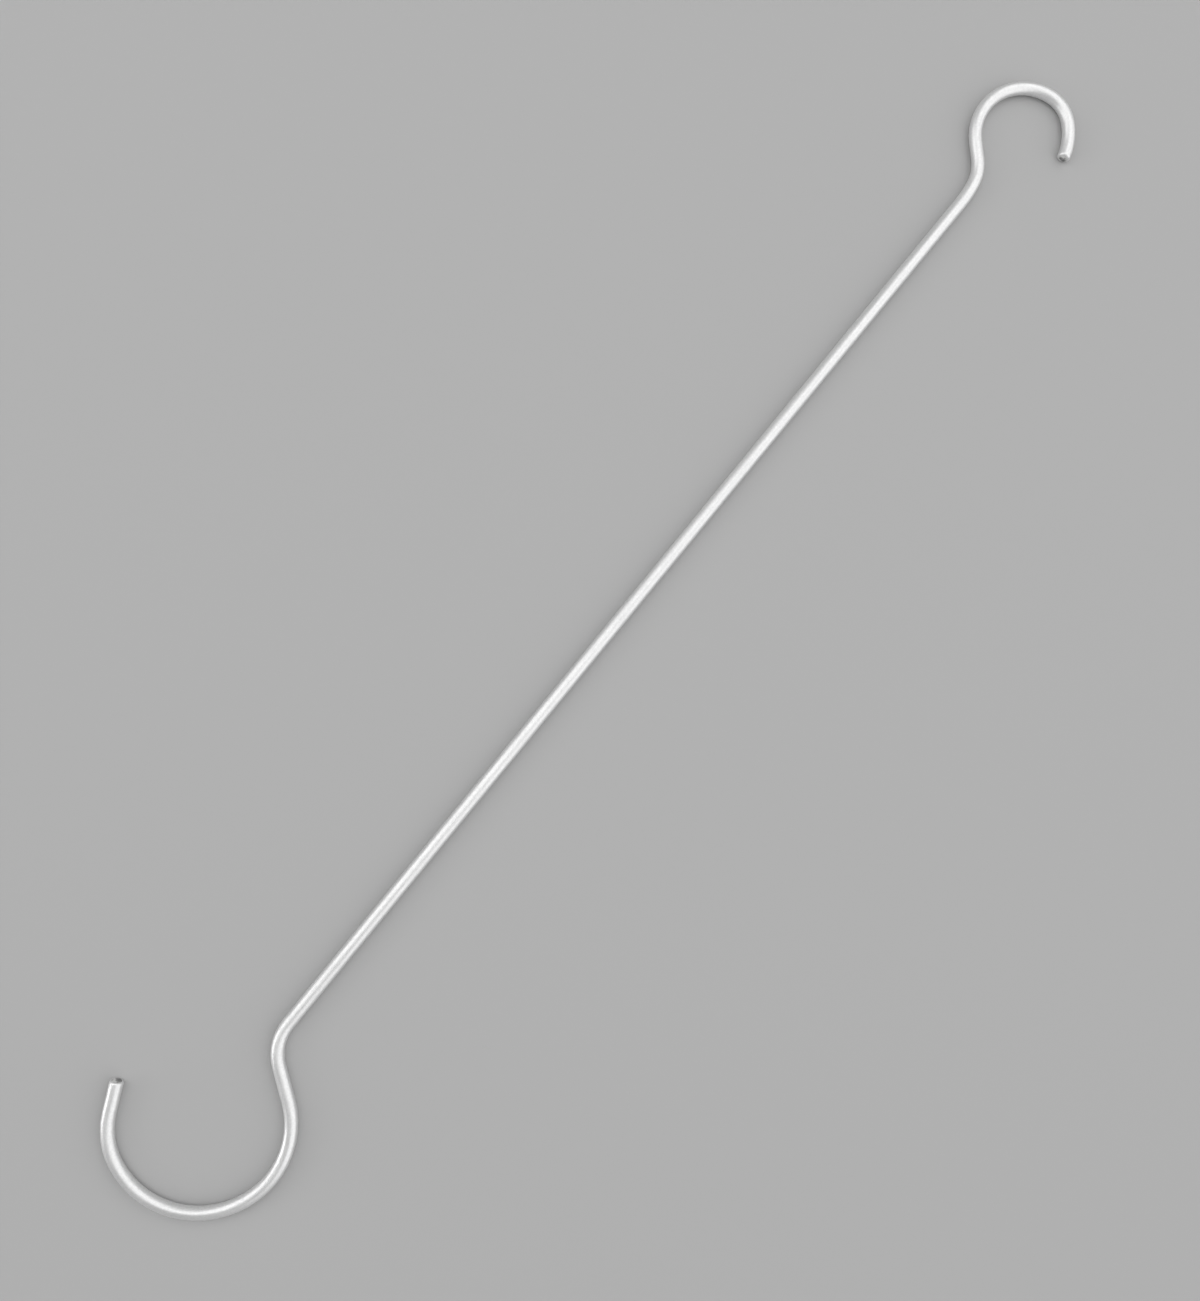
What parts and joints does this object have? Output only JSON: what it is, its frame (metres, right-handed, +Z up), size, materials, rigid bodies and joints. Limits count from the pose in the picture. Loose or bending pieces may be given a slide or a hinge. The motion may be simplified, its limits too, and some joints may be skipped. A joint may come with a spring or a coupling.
{
  "type": "extension hook",
  "caption": "Long straight rod with a small open hook at one end and a large open hook at the other, to hang a plant, feeder or lamp lower than its hanging point.",
  "frame": {"origin": "centre of the bounding box at its base: the rod lies flat, so z = 0 is the surface it lies on", "axes": "+X along the straight shank, from the large hook to the small hook; +Z up, square to the plane that the rod is bent in"},
  "size_m": [0.5422, 0.0698, 0.005],
  "materials": {
    "rod_steel": "satin, fine-grained, bright silver"
  },
  "bodies": {
    "root": {"hook_rod": "rod_steel"}
  },
  "joints": []
}
